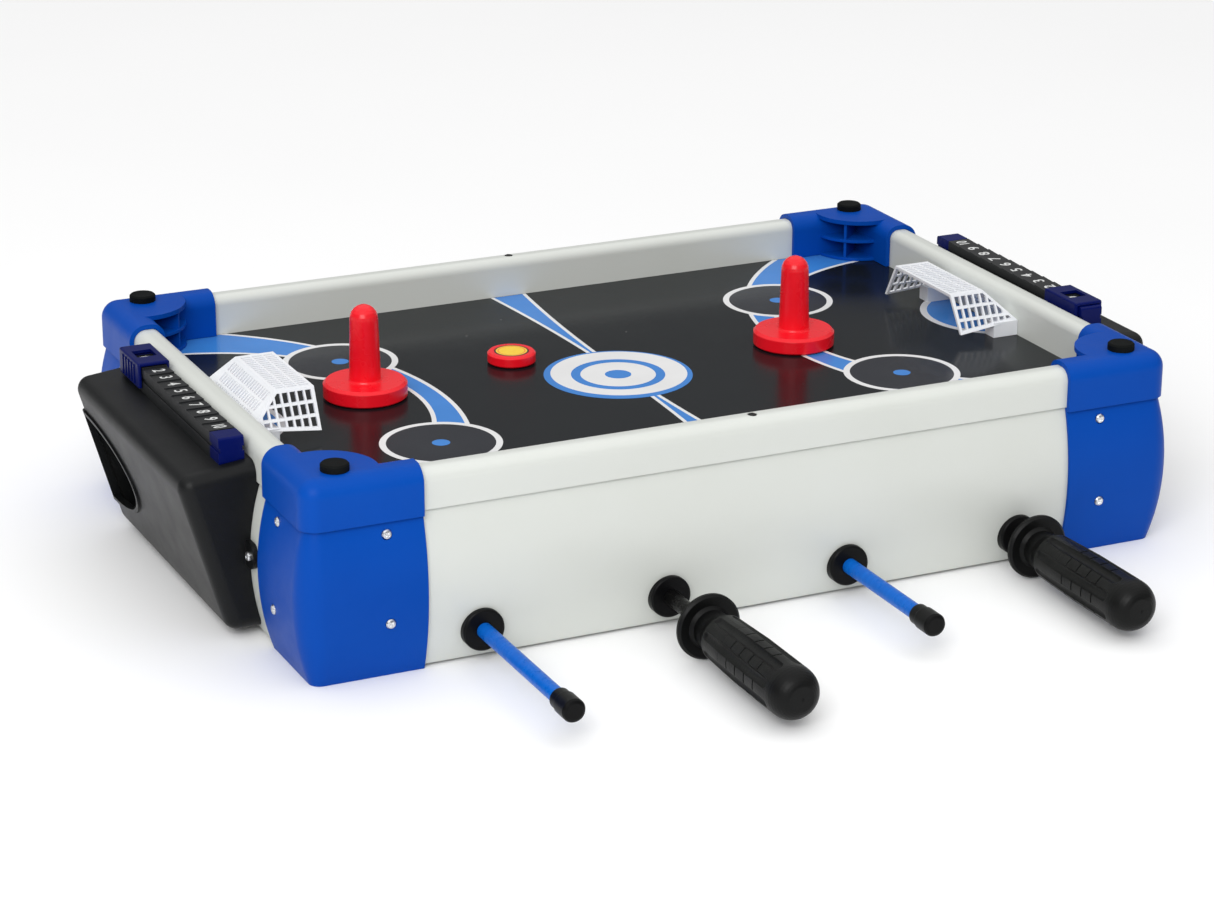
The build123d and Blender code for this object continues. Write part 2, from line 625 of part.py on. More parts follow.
def rod_rings(i):
    """Two rubber rings that stop the rod against the bushes."""
    made = []
    for side in (-1, 1):
        y = player_centre(i) + side * RING_FACE_Y
        ring = rod_along((0, -side, 0), (rod_x(i), y, ROD_AXIS_Z), RING_RADIUS, RING_WIDTH)
        ring = fillet(ring.edges().filter_by(GeomType.CIRCLE), 1.0)
        start = (rod_x(i), y + side, ROD_AXIS_Z)
        made.append(ring - rod_along((0, -side, 0), start, ROD_RUN_RADIUS, RING_WIDTH + 2))
    return Compound(children=made)


def player(i, y):
    """One figure on rod i, head down and feet up, with a plain moulded shape."""
    half = PLAYER_WIDTH / 2
    body_outline = [
        (-half, -4.0),
        (half, -4.0),
        (half, 3.0),
        (FOOT_WIDTH / 2 - 0.5, 14.0),
        (FOOT_WIDTH / 2 - 0.5, PLAYER_FOOT_REACH - FOOT_HEIGHT + 1),
        (-FOOT_WIDTH / 2 + 0.5, PLAYER_FOOT_REACH - FOOT_HEIGHT + 1),
        (-FOOT_WIDTH / 2 + 0.5, 14.0),
        (-half, 3.0),
    ]
    face = Plane.YZ * make_face(Polyline(*body_outline, close=True))
    figure = extrude(face, amount=3.2, both=True)
    figure = fillet(figure.edges().filter_by(Axis.X), 1.5)
    figure += rod_along((0, 1, 0), (0, -half, 0), PLAYER_BOSS_RADIUS, PLAYER_WIDTH)
    head_radius = 5.2
    figure += Pos(0, 0, -PLAYER_HEAD_REACH + head_radius) * Sphere(head_radius)
    foot_z = PLAYER_FOOT_REACH - FOOT_HEIGHT / 2
    foot = Pos(0, 0, foot_z) * Box(FOOT_DEPTH, FOOT_WIDTH, FOOT_HEIGHT)
    figure += fillet(foot.edges().filter_by(Axis.Y), 1.5)
    figure -= rod_along((0, 1, 0), (0, -half - 1, 0), ROD_FIT_RADIUS, PLAYER_WIDTH + 2)
    return Pos(rod_x(i), y, ROD_AXIS_Z) * figure


def players(i):
    """One figure on an outer rod, three on an inner rod."""
    outer = i in (0, len(ROD_SHIFTS) - 1)
    steps = (0,) if outer else (-1, 0, 1)
    return Compound(children=[player(i, player_centre(i) + k * PLAYER_PITCH) for k in steps])


# ================================================================ ball boxes
def box_body(grow):
    """The left box's outer shape with rounded edges, grown by grow on its free sides."""
    half_y = BOX_HALF_Y + grow
    back_x = -FIELD_HALF_X
    outline = Polyline(
        (back_x, BOX_TOE_Z - grow),
        (-BOX_TOE_X - grow, BOX_TOE_Z - grow),
        (-BOX_SHOULDER_X - grow, BOX_SHOULDER_Z + grow),
        (-RAIL_OUT_X, BOX_CREST_Z + grow),
        (back_x, BOX_CREST_Z + grow),
        close=True,
    )
    face = make_face(outline)
    outer_corners = face.vertices().sort_by(Axis.X)[:2]
    face = fillet(outer_corners, BOX_EDGE_ROUND + grow)
    plane = Plane(origin=(0, half_y, 0), x_dir=(1, 0, 0), z_dir=(0, -1, 0))
    body = extrude(plane * face, amount=2 * half_y)
    ends = body.faces().sort_by(Axis.Y)
    rims = [edge for face in (ends[0], ends[-1]) for edge in face.edges()]
    outer = [edge for edge in rims if edge.center().X < -RAIL_OUT_X - 2]
    return fillet(outer, BOX_EDGE_ROUND + grow)


def hand_ellipse(grow, x_from, x_to):
    """A bar along X: the oval hand opening, cut off straight at the box's far end."""
    plane = Plane(origin=(x_from, HAND_CENTRE_Y, HAND_CENTRE_Z), x_dir=(0, 1, 0), z_dir=(1, 0, 0))
    oval = extrude(plane * Ellipse(HAND_HALF_Y + grow, HAND_HALF_Z + grow), amount=x_to - x_from)
    far_y = BOX_HALF_Y - HAND_END_STRIP + grow
    z = (HAND_CENTRE_Z - HAND_HALF_Z - grow, HAND_CENTRE_Z + HAND_HALF_Z + grow)
    return oval & box((x_from, x_to), (HAND_CENTRE_Y - HAND_HALF_Y - grow, far_y), z)


def tab_screw_spots():
    """Screws of the left box's two tabs."""
    d = wall_d(TAB_Z) + LOOSE_GAP + TAB_THICK
    reach = BOX_HALF_Y + TAB_RADIUS - 1.0
    return [((-FIELD_HALF_X - d, side * reach, TAB_Z), (1, 0, 0)) for side in (-1, 1)]


def ball_box():
    """Left box: hollow, open to the wall, with the hand opening near its far end."""
    outside = -BOX_SHOULDER_X - 20
    shell = box_body(0.0)
    rim = box_body(HAND_RIM_HEIGHT)
    rim &= hand_ellipse(HAND_RIM, outside, -HAND_DEPTH_X + HAND_RIM)
    shell += rim
    for origin, inward in tab_screw_spots():
        length = TAB_THICK + 8
        tab = rod_along(inward, origin, TAB_RADIUS, length)
        y = sorted((origin[1], origin[1] - TAB_RADIUS * (1 if origin[1] > 0 else -1)))
        x = (origin[0], origin[0] + length)
        shell += tab + box(x, tuple(y), (TAB_Z - TAB_RADIUS, TAB_Z + TAB_RADIUS))
    wall = wall_outline(LOOSE_GAP, inner_d=-1.0, bottom_z=-5.0)
    shell -= along_y(wall, -BOX_HALF_Y - 30, BOX_HALF_Y + 30)
    shell -= box_body(-BOX_SKIN)
    shell -= hand_ellipse(0, outside, -HAND_DEPTH_X)
    for origin, inward in tab_screw_spots():
        for cutter in screw_hole(origin, inward):
            shell -= cutter
    return shell


def box_screws():
    """The four screws that hold the two boxes."""
    left = [pan_screw(*spot) for spot in tab_screw_spots()]
    return Compound(children=left + [half_turn(screw) for screw in left])


# ================================================================ scorers
def score_low_y():
    """End of the left bar beyond the last figure."""
    return SCORE_ZERO_Y - (SCORE_FIGURES - 0.5) * SCORE_PITCH


def score_high_y():
    return SCORE_ZERO_Y + SCORE_PITCH / 2


def score_core(low_y, high_y, top_z):
    """The bar's body with the two grooves that guide the slider."""
    half = SCORE_BAR_WIDTH / 2
    core = box((-SCORE_X - half, -SCORE_X + half), (low_y, high_y), (BOX_SHOULDER_Z, top_z))
    core -= box_body(0.0)
    groove_z = (SCORE_GROOVE_Z, SCORE_GROOVE_Z + SCORE_GROOVE_HEIGHT)
    for side in (-1, 1):
        x = sorted((-SCORE_X + side * (half - SCORE_GROOVE), -SCORE_X + side * (half + 1)))
        core -= box(tuple(x), (low_y - 1, high_y + 1), groove_z)
    return core


def score_bar():
    """Left bar: one shingled step for every figure."""
    bar = score_core(score_low_y(), score_high_y(), SCORE_TOP_Z)
    for k in range(SCORE_FIGURES):
        high = score_high_y() - k * SCORE_PITCH
        low = high - SCORE_PITCH
        wedge = [(low, SCORE_TOP_Z), (high, SCORE_TOP_Z), (high, SCORE_TOP_Z - SCORE_SHINGLE)]
        plane = Plane(origin=(-SCORE_X - SCORE_BAR_WIDTH, 0, 0), x_dir=(0, 1, 0), z_dir=(1, 0, 0))
        bar -= extrude(plane * make_face(Polyline(*wedge, close=True)), amount=2 * SCORE_BAR_WIDTH)
    return bar


def score_ends():
    """The two blue blocks that close the left bar."""
    made = []
    for low in (score_low_y() - SCORE_BLOCK_LENGTH, score_high_y()):
        block = score_core(low, low + SCORE_BLOCK_LENGTH, SCORE_TOP_Z)
        made.append(fillet(block.edges().filter_by(Axis.X).group_by(Axis.Z)[-1], 1.5))
    return Compound(children=made)


def score_slider():
    """Left slider, standing at figure 0: a window frame that straddles the bar."""
    inner = SCORE_BAR_WIDTH / 2 + GUIDE_GAP
    outer = inner + SLIDER_SKIN
    low_z = BOX_CREST_Z + SLIDER_FOOT_GAP
    top_z = SCORE_TOP_Z + GUIDE_GAP + SLIDER_SKIN
    y = (-SLIDER_LENGTH / 2, SLIDER_LENGTH / 2)
    body = box((-outer, outer), y, (low_z, top_z))
    body = fillet(body.edges().filter_by(Axis.Z) + body.faces().sort_by(Axis.Z)[-1].edges(), 1.2)
    body -= box((-inner, inner), (y[0] - 1, y[1] + 1), (low_z - 1, SCORE_TOP_Z + GUIDE_GAP))
    rib_z = (SCORE_GROOVE_Z + GUIDE_GAP, SCORE_GROOVE_Z + SCORE_GROOVE_HEIGHT - GUIDE_GAP)
    for side in (-1, 1):
        x = sorted((side * (SCORE_BAR_WIDTH / 2 - SCORE_GROOVE + GUIDE_GAP), side * (inner + 0.5)))
        body += box(tuple(x), (y[0] + 2, y[1] - 2), rib_z)
    for k in range(SLIDER_RIBS):
        rib_y = (k - (SLIDER_RIBS - 1) / 2) * SLIDER_LENGTH / (SLIDER_RIBS + 2)
        body += box((-outer - 0.6, -outer + 0.5), (rib_y - 0.8, rib_y + 0.8), (low_z + 1, top_z - 2))
    window = box(
        (-SLIDER_WINDOW_X / 2, SLIDER_WINDOW_X / 2),
        (-SLIDER_WINDOW_Y / 2, SLIDER_WINDOW_Y / 2),
        (SCORE_TOP_Z, top_z + 1),
    )
    return Pos(-SCORE_X, SCORE_ZERO_Y, 0) * (body - window)


# ================================================================ hockey goals
def goal_half_y(z):
    """Outer half width of a goal at height z."""
    return GOAL_TOP_HALF_Y + (GOAL_TOP_Z - z) * GOAL_FLARE


def goal_side():
    """A side panel seen along Y, in (x, z)."""
    outline = Polyline(
        (GOAL_FRONT_X, GOAL_TOP_Z),
        (GOAL_FRONT_X + GOAL_TOP_DEPTH, GOAL_TOP_Z),
        (GOAL_REAR_X, GOAL_BASE_Z),
        (GOAL_FOOT_X, FIELD_TOP_Z + GOAL_FOOT_LIFT),
        close=True,
    )
    return make_face(outline)


def goal_room():
    """The room under the top and before the back panel, in (x, z)."""
    front, low = GOAL_FRONT_X - 20, FIELD_TOP_Z - 20
    outline = Polyline(
        (front, GOAL_TOP_Z),
        (GOAL_FRONT_X + GOAL_TOP_DEPTH, GOAL_TOP_Z),
        (GOAL_REAR_X, GOAL_BASE_Z),
        (GOAL_REAR_X, low),
        (front, low),
        close=True,
    )
    return offset(make_face(outline), amount=-GOAL_PANEL, kind=Kind.INTERSECTION)


def across_goal(face, half_y):
    """A (x, z) face swept along Y to both sides of the goal's middle."""
    plane = Plane(origin=(0, half_y, 0), x_dir=(1, 0, 0), z_dir=(0, -1, 0))
    return extrude(plane * face, amount=2 * half_y)


def goal_flare(narrow):
    """Everything between the two flared sides, less narrow on each side."""
    low_z, high_z = FIELD_TOP_Z - 25, GOAL_TOP_Z + 1
    low, high = goal_half_y(low_z) - narrow, goal_half_y(high_z) - narrow
    outline = Polyline((-low, low_z), (-high, high_z), (high, high_z), (low, low_z), close=True)
    plane = Plane(origin=(GOAL_FRONT_X - 25, 0, 0), x_dir=(0, 1, 0), z_dir=(1, 0, 0))
    return extrude(plane * make_face(outline), amount=70)


def goal_cells():
    """Grid of openings for both side panels, clipped by their frame."""
    window = offset(goal_side(), amount=-GOAL_FRAME, kind=Kind.INTERSECTION)
    columns = int((GOAL_REAR_X - GOAL_FRONT_X) / (GOAL_CELL_X + GOAL_BAR))
    rows = int(GOAL_HEIGHT / (GOAL_CELL_Z + GOAL_BAR))
    cutters = []
    for row in range(rows):
        z = GOAL_TOP_Z - GOAL_FRAME - GOAL_CELL_Z / 2 - row * (GOAL_CELL_Z + GOAL_BAR)
        for column in range(columns):
            x = GOAL_FOOT_X + GOAL_FRAME + GOAL_CELL_X / 2 + column * (GOAL_CELL_X + GOAL_BAR)
            cell = window & Pos(x, z) * Rectangle(GOAL_CELL_X, GOAL_CELL_Z)
            if cell and cell.area > GOAL_SMALLEST_CELL:
                cutters.append(across_goal(cell, goal_half_y(FIELD_TOP_Z)))
    return cutters


def goal_slots():
    """Rows of slots cut straight down through the top panel and the leaning back panel."""
    pitch = 2 * (GOAL_TOP_HALF_Y - GOAL_SLOT_SIDE) / GOAL_SLOTS
    top_end = GOAL_FRONT_X + GOAL_TOP_DEPTH
    z = (FIELD_TOP_Z + GOAL_FOOT_LIFT, GOAL_TOP_Z + 1)
    cutters = []
    for first, last in ((GOAL_FRONT_X, top_end), (top_end, GOAL_REAR_X)):
        row_pitch = (last - first - 2 * GOAL_SLOT_RIM + GOAL_BAR) / GOAL_SLOT_ROWS
        for row in range(GOAL_SLOT_ROWS):
            start = first + GOAL_SLOT_RIM + row * row_pitch
            for k in range(GOAL_SLOTS):
                middle = (k - (GOAL_SLOTS - 1) / 2) * pitch
                y = (middle - GOAL_SLOT_WIDTH / 2, middle + GOAL_SLOT_WIDTH / 2)
                cutters.append(box((start, start + row_pitch - GOAL_BAR), y, z))
    return cutters


def hockey_goal():
    """Right goal: flared side panels with openings, slotted top and back, two base blocks."""
    shape = across_goal(goal_side(), goal_half_y(FIELD_TOP_Z)) & goal_flare(0.0)
    panel = GOAL_PANEL * sqrt(1 + GOAL_FLARE ** 2)
    shape -= across_goal(goal_room(), goal_half_y(FIELD_TOP_Z)) & goal_flare(panel)
    shape -= goal_cells() + goal_slots()
    outer = goal_half_y(GOAL_BASE_Z) + 0.5
    for side in (-1, 1):
        y = sorted((side * (outer - GOAL_BASE_WIDTH), side * outer))
        x = (GOAL_REAR_X - GOAL_BASE_DEPTH, GOAL_REAR_X)
        shape += box(x, tuple(y), (FIELD_TOP_Z + LOOSE_GAP / 2, GOAL_BASE_Z))
    return shape


# ================================================================ pushers and puck
def pusher(place):
    """Flat disc with a domed handle, hollow from below."""
    top = PUSHER_HEIGHT
    dome = PUSHER_HANDLE_TOP_RADIUS
    profile = [
        (0, 0),
        (PUSHER_RADIUS - 0.8, 0),
        (PUSHER_RADIUS, 0.8),
        (PUSHER_RADIUS, PUSHER_BASE - 1.5),
        (PUSHER_RADIUS - 1.5, PUSHER_BASE),
        (PUSHER_HANDLE_FOOT_RADIUS + 0.6, PUSHER_BASE),
        (PUSHER_HANDLE_FOOT_RADIUS, PUSHER_BASE + 1.0),
    ]
    for step in range(6):
        angle = radians(15 * step)
        profile.append((dome * cos(angle), top - dome + dome * sin(angle)))
    profile.append((0, top))
    inner = PUSHER_HANDLE_TOP_RADIUS - PUSHER_SKIN
    hollow = [
        (0, -1),
        (PUSHER_RADIUS - PUSHER_SKIN, -1),
        (PUSHER_RADIUS - PUSHER_SKIN, PUSHER_BASE - PUSHER_SKIN),
        (inner, PUSHER_BASE - PUSHER_SKIN),
        (inner, top - dome),
        (0, top - dome),
    ]
    origin = (*place, FIELD_TOP_Z + GUIDE_GAP)
    return turned(profile, origin, (0, 0, 1)) - turned(hollow, origin, (0, 0, 1))


def puck():
    """Puck with a shallow recess for its disc."""
    profile = [
        (0, 0),
        (PUCK_RADIUS - 0.8, 0),
        (PUCK_RADIUS, 0.8),
        (PUCK_RADIUS, PUCK_HEIGHT - 1.0),
        (PUCK_RADIUS - 1.0, PUCK_HEIGHT),
        (LABEL_RADIUS + LOOSE_GAP, PUCK_HEIGHT),
        (LABEL_RADIUS + LOOSE_GAP, PUCK_HEIGHT - LABEL_THICK),
        (0, PUCK_HEIGHT - LABEL_THICK),
    ]
    return turned(profile, (*PUCK_PLACE, FIELD_TOP_Z + GUIDE_GAP), (0, 0, 1))


def puck_disc():
    origin = (*PUCK_PLACE, FIELD_TOP_Z + GUIDE_GAP + PUCK_HEIGHT - LABEL_THICK)
    return rod_along((0, 0, 1), origin, LABEL_RADIUS, LABEL_THICK)


# ================================================================ all pieces
def build():
    save("hockey_board", board(FIELD_TOP_Z))
    save("football_board", board(PLAYER_BOARD_Z + BOARD_THICK))
    front = long_wall()
    save("wall_front", front)
    save("wall_back", half_turn(front))
    left = end_wall()
    save("wall_left", left)
    save("wall_right", half_turn(left))
    for piece, make in (("corner", corner), ("pad", pad), ("corner_screws", corner_screws)):
        shape = make()
        save(f"{piece}_front_left", shape)
        save(f"{piece}_front_right", mirror(shape, Plane.YZ))
        save(f"{piece}_back_left", mirror(shape, Plane.XZ))
        save(f"{piece}_back_right", half_turn(shape))
    save("rail_screws", rail_screws())
    for i in range(len(ROD_SHIFTS)):
        number = i + 1
        save(f"rod_bushes_{number}", rod_bushes(i))
        save(f"rod_{number}", rod(i))
        save(f"grip_{number}", grip(i))
        save(f"end_cap_{number}", end_cap(i))
        save(f"rod_rings_{number}", rod_rings(i))
        save(f"players_{number}", players(i))
    for piece, make in (("ball_box", ball_box), ("score_bar", score_bar), ("score_ends", score_ends)):
        shape = make()
        save(f"{piece}_left", shape)
        save(f"{piece}_right", half_turn(shape))
    slider = score_slider()
    save("score_slider_left", slider)
    save("score_slider_right", half_turn(slider))
    save("box_screws", box_screws())
    goal = hockey_goal()
    back = Pos(0, GOAL_SHIFT_Y, 0)
    save("hockey_goal_right", back * goal)
    save("hockey_goal_left", back * half_turn(goal))
    for name, place in zip(("pusher_left", "pusher_right"), PUSHER_PLACES):
        save(name, pusher(place))
    save("puck", puck())
    save("puck_disc", puck_disc())


build()
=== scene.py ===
"""Looks of the two-in-one table game.

Every CAD piece gets a procedural material. The two printed fields and the score figures are
thin meshes that ride on the table. Lengths in the constants are in mm, unless noted.
"""
from math import atan2, cos, pi, radians, sin, sqrt

import bpy
from mathutils import Matrix, Vector


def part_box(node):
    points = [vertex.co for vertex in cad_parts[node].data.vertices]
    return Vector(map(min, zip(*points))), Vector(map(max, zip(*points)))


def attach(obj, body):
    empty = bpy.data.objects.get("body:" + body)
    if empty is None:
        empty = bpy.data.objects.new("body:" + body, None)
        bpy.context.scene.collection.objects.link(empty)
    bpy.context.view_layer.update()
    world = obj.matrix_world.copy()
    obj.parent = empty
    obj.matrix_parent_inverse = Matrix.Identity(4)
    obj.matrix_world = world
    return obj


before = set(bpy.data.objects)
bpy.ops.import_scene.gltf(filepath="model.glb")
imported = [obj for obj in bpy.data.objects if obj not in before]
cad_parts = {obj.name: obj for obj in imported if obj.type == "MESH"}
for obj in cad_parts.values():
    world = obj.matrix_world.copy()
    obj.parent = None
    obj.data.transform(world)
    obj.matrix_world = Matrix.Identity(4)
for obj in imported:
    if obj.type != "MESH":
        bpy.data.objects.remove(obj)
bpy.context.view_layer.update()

MM = 0.001

# ---------------------------------------------------------------- view and light, metres
CAMERA_PLACE = (-0.7408, -1.5586, 0.6575)
CAMERA_AZIMUTH = -25.17
CAMERA_ELEVATION = 19.98
CAMERA_ROLL = 0.2
CAMERA_LENS = 101.27            # mm
SENSOR_WIDTH = 36.0             # mm
FLOOR_SIZE = 40.0
FLOOR_COLOUR = (0.97, 0.97, 0.97)
SKY_LOW = 0.22                  # grey of the room up to SKY_RISE[0]
SKY_HIGH = 1.20                 # and from SKY_RISE[1] on
SKY_RISE = (0.30, 0.85)         # sines of the two elevations
KEY_PLACE = (-1.5, -2.1, 1.7)
KEY_AIM = (0, 0, 0.05)
KEY_SIZE = (2.0, 1.5)
KEY_POWER = 50

# ---------------------------------------------------------------- hockey print
FIELD_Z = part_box("hockey_board")[1].z / MM
PRINT_HALF_X = 221.0
PRINT_HALF_Y = 142.5
INK = 0.02                      # thickness of one printed layer
OUTLINE = 2.4
BAND_OUTER = (283.5, -2.0, 184.5)      # centre x, centre y, radius of the band's outer edge
BAND_INNER = (231.0, 3.5, 117.3)       # the same for its inner edge
BAND_SHIFT = -3.4
BAND_ROWS = 160
CREASE_CENTRE = (233.0, 3.0)
CREASE_RADIUS = 41.9
CREASE_FILL = 38.0
CREASE_TRIM = 1.0               # left off at both ends of its rows
CREASE_ROWS = 60
RING_PLACE = (132.2, 70.5)
RING_SHIFT = (-0.5, 1.0)
RING_RADIUS = 31.0
RING_LINE = 3.4
RING_COVER_INSET = 1.0          # black under a ring ends this far inside its outer edge
DOT_RADIUS = 4.6
WAIST_X = -3.8                  # centre of the hourglass band
WAIST_Y = -8.0
WAIST_HALF = 2.2
WAIST_CURVE = 1316.0            # radius of its edges
WAIST_OUTLINE = OUTLINE * 0.85
WAIST_ROWS = 40
BADGE_PLACE = (-6.6, -9.7)
BADGE_RADIUS = 39.5
BADGE_RIM = 3.2
BADGE_WHITE_PLACE = (BADGE_PLACE[0] + 1.2, BADGE_PLACE[1] + 1.6)
BADGE_RING = (20.0, 25.0)       # inner and outer radius
BADGE_DOT = 7.0
ROUND_STEPS = 128               # corners of a printed circle

# ---------------------------------------------------------------- football print
PITCH_HALF_X = 205.0
PITCH_HALF_Y = 130.0
PITCH_LINE = 2.0
PITCH_AREAS = ((62.0, 72.0), (26.0, 46.0))     # depth and half width
PITCH_CIRCLE = 38.0
PITCH_SPOT = 4.0
MOWN_PAIR = 74.0                # one light and one dark stripe

# ---------------------------------------------------------------- score figures
FIGURE_COUNT = 11
FIGURE_PITCH = 11.63
FIGURE_ZERO_Y = 55.5
FIGURE_SIZE = 9.2
FIGURE_THICK = 0.04
FIGURE_WEIGHT = 0.12            # added to each stroke
FIGURE_LIFT = 0.02              # above the bar
TWO_DIGIT_WIDTH = 0.72          # 10 is narrowed to fit its block
SHINGLE_DROP = 0.6

# ---------------------------------------------------------------- puck disc and rods
DISC_RING = (6.9, 7.5)          # radii of the orange ring
DISC_GAP_SHADE = 8.4                  # and where the painted shade of the gap round the disc starts
ROD_BLACK = 42.0                # black rod before each grip


# ================================================================ materials
class Painter:
    """Builds one node material; the object's own coordinates are metres in the row frame."""

    def __init__(self, name):
        self.material = bpy.data.materials.new(name)
        self.material.use_nodes = True
        self.tree = self.material.node_tree
        self.shader = self.tree.nodes["Principled BSDF"]
        self.place = self.node("ShaderNodeTexCoord").outputs["Object"]

    def node(self, kind, **values):
        made = self.tree.nodes.new(kind)
        for key, value in values.items():
            setattr(made, key, value)
        return made

    def link(self, source, target):
        self.tree.links.new(source, target)

    def noise(self, scale, detail=2.0, stretch=(1, 1, 1)):
        mapping = self.node("ShaderNodeMapping")
        mapping.inputs["Scale"].default_value = stretch
        self.link(self.place, mapping.inputs["Vector"])
        made = self.node("ShaderNodeTexNoise")
        made.inputs["Scale"].default_value = scale
        made.inputs["Detail"].default_value = detail
        self.link(mapping.outputs["Vector"], made.inputs["Vector"])
        return made.outputs["Fac"]

    def spread(self, value, low, high, start=0.3, end=0.7):
        """Maps value from start..end to low..high."""
        made = self.node("ShaderNodeMapRange")
        made.inputs["From Min"].default_value = start
        made.inputs["From Max"].default_value = end
        made.inputs["To Min"].default_value = low
        made.inputs["To Max"].default_value = high
        self.link(value, made.inputs["Value"])
        return made.outputs["Result"]

    def mix(self, factor, first, second):
        """Blend of two colours; a Mix node has its colour sockets after the ones of other types."""
        made = self.node("ShaderNodeMix", data_type="RGBA")
        self.link(factor, made.inputs["Factor"])
        for socket, value in ((made.inputs[6], first), (made.inputs[7], second)):
            if isinstance(value, tuple):
                socket.default_value = (*value, 1)
            else:
                self.link(value, socket)
        return made.outputs[2]

    def radius(self, centre):
        """Distance in mm from an upright line through centre."""
        away = self.node("ShaderNodeVectorMath", operation="SUBTRACT")
        self.link(self.place, away.inputs[0])
        away.inputs[1].default_value = centre
        flat = self.node("ShaderNodeVectorMath", operation="MULTIPLY")
        self.link(away.outputs[0], flat.inputs[0])
        flat.inputs[1].default_value = (1 / MM, 1 / MM, 0)
        length = self.node("ShaderNodeVectorMath", operation="LENGTH")
        self.link(flat.outputs[0], length.inputs[0])
        return length.outputs["Value"]

    def step(self, value, edge, width=0.15):
        """0 below the edge and 1 above it."""
        return self.spread(value, 0.0, 1.0, edge - width, edge + width)

    def colour(self, tint, shade, scale=14.0, detail=3.0):
        """Slow drift between two close colours, as in a moulding or a print."""
        drift = self.spread(self.noise(scale, detail), 0.0, 1.0)
        self.link(self.mix(drift, tint, shade), self.shader.inputs["Base Color"])

    def gloss(self, low, high, scale=60.0):
        """Roughness that drifts between low and high."""
        drift = self.spread(self.noise(scale, 3.0), low, high)
        self.link(drift, self.shader.inputs["Roughness"])

    def relief(self, scale, depth, edge=0.0, stretch=(1, 1, 1)):
        """Fine surface grain, with corners softened by edge millimetres."""
        bump = self.node("ShaderNodeBump")
        bump.inputs["Distance"].default_value = depth * MM
        self.link(self.noise(scale, 2.0, stretch), bump.inputs["Height"])
        if edge:
            soft = self.node("ShaderNodeBevel", samples=4)
            soft.inputs["Radius"].default_value = edge * MM
            self.link(soft.outputs["Normal"], bump.inputs["Normal"])
        self.link(bump.outputs["Normal"], self.shader.inputs["Normal"])

    def set(self, **values):
        """Sets the shader's own sockets; an underscore stands for a space."""
        for key, value in values.items():
            self.shader.inputs[key.replace("_", " ")].default_value = value


# Two close colours, roughness from and to, grain per metre, grain depth in mm, specular level.
PLASTICS = {
    "wall_plastic":
        ((0.64, 0.66, 0.62), (0.66, 0.68, 0.645), (0.28, 0.34), 900, 0.02, 0.5),
    "corner_plastic":
        ((0.0006, 0.057, 0.36), (0.0010, 0.066, 0.40), (0.34, 0.44), 1600, 0.06, 0.08),
    "navy_plastic":
        ((0.0005, 0.004, 0.080), (0.0008, 0.006, 0.100), (0.28, 0.38), 1500, 0.04, 0.10),
    "box_plastic":
        ((0.004, 0.0045, 0.005), (0.006, 0.0065, 0.007), (0.39, 0.45), 1300, 0.10, 0.20),
    "bar_plastic":
        ((0.008, 0.009, 0.010), (0.013, 0.014, 0.015), (0.34, 0.46), 1500, 0.06, 0.3),
    "bush_plastic":
        ((0.0025, 0.0025, 0.003), (0.005, 0.005, 0.005), (0.32, 0.42), 1500, 0.05, 0.12),
    "grip_rubber":
        ((0.0015, 0.0017, 0.0017), (0.003, 0.0032, 0.0032), (0.36, 0.50), 900, 0.10, 0.18),
    "pad_rubber":
        ((0.003, 0.004, 0.004), (0.006, 0.007, 0.007), (0.55, 0.70), 1200, 0.15, 0.06),
    "player_red":
        ((0.50, 0.010, 0.010), (0.56, 0.016, 0.014), (0.30, 0.40), 1100, 0.06, 0.5),
    "player_blue":
        ((0.006, 0.06, 0.42), (0.010, 0.08, 0.48), (0.30, 0.40), 1100, 0.06, 0.5),
}
PLASTIC_EDGE = 0.4              # how far corners are softened
PLAYER_EDGE = 0.5


def plastic(name, edge=PLASTIC_EDGE):
    """Moulded plastic: two close colours, an uneven gloss and a fine grain."""
    tint, shade, gloss, grain, depth, specular = PLASTICS[name]
    paint = Painter(name)
    paint.colour(tint, shade)
    paint.gloss(*gloss)
    paint.relief(grain, depth, edge)
    paint.set(Specular_IOR_Level=specular)
    return paint.material


def goal_plastic():
    paint = Painter("goal_plastic")
    paint.colour((0.84, 0.86, 0.90), (0.88, 0.89, 0.92), 40)
    paint.gloss(0.30, 0.40)
    paint.relief(900, 0.03, 0.15)
    paint.set(Subsurface_Weight=0.15, Subsurface_Radius=(1.0, 1.0, 1.0), Subsurface_Scale=0.001)
    return paint.material


def red_plastic():
    paint = Painter("red_plastic")
    paint.colour((0.86, 0.005, 0.015), (0.91, 0.008, 0.020))
    paint.gloss(0.24, 0.32)
    paint.relief(500, 0.03, 0.4)
    paint.set(Specular_IOR_Level=0.3, Coat_Weight=0.15, Coat_Roughness=0.15)
    return paint.material


def rod_enamel(number):
    """Bright blue tube with streaks of sliding wear; black on the side of its grip."""
    low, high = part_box(f"grip_{number}")
    side = 1 if (low + high).y > 0 else -1
    grip_face = min(abs(low.y), abs(high.y))
    paint = Painter(f"rod_enamel_{number}")
    streak = paint.spread(paint.noise(60, 4.0, (0.1, 6, 0.1)), 0.0, 1.0, 0.45, 0.8)
    blue = paint.mix(streak, (0.002, 0.11, 0.50), (0.005, 0.14, 0.58))
    split = paint.node("ShaderNodeSeparateXYZ")
    paint.link(paint.place, split.inputs["Vector"])
    reach = paint.node("ShaderNodeMath", operation="MULTIPLY")
    paint.link(split.outputs["Y"], reach.inputs[0])
    reach.inputs[1].default_value = side
    black_from = grip_face - ROD_BLACK * MM
    near_grip = paint.step(reach.outputs["Value"], black_from, 0.1 * MM)
    paint.link(paint.mix(near_grip, blue, (0.004, 0.004, 0.004)), paint.shader.inputs["Base Color"])
    paint.gloss(0.24, 0.34, 200)
    paint.relief(600, 0.02)
    paint.set(Specular_IOR_Level=0.12)
    return paint.material


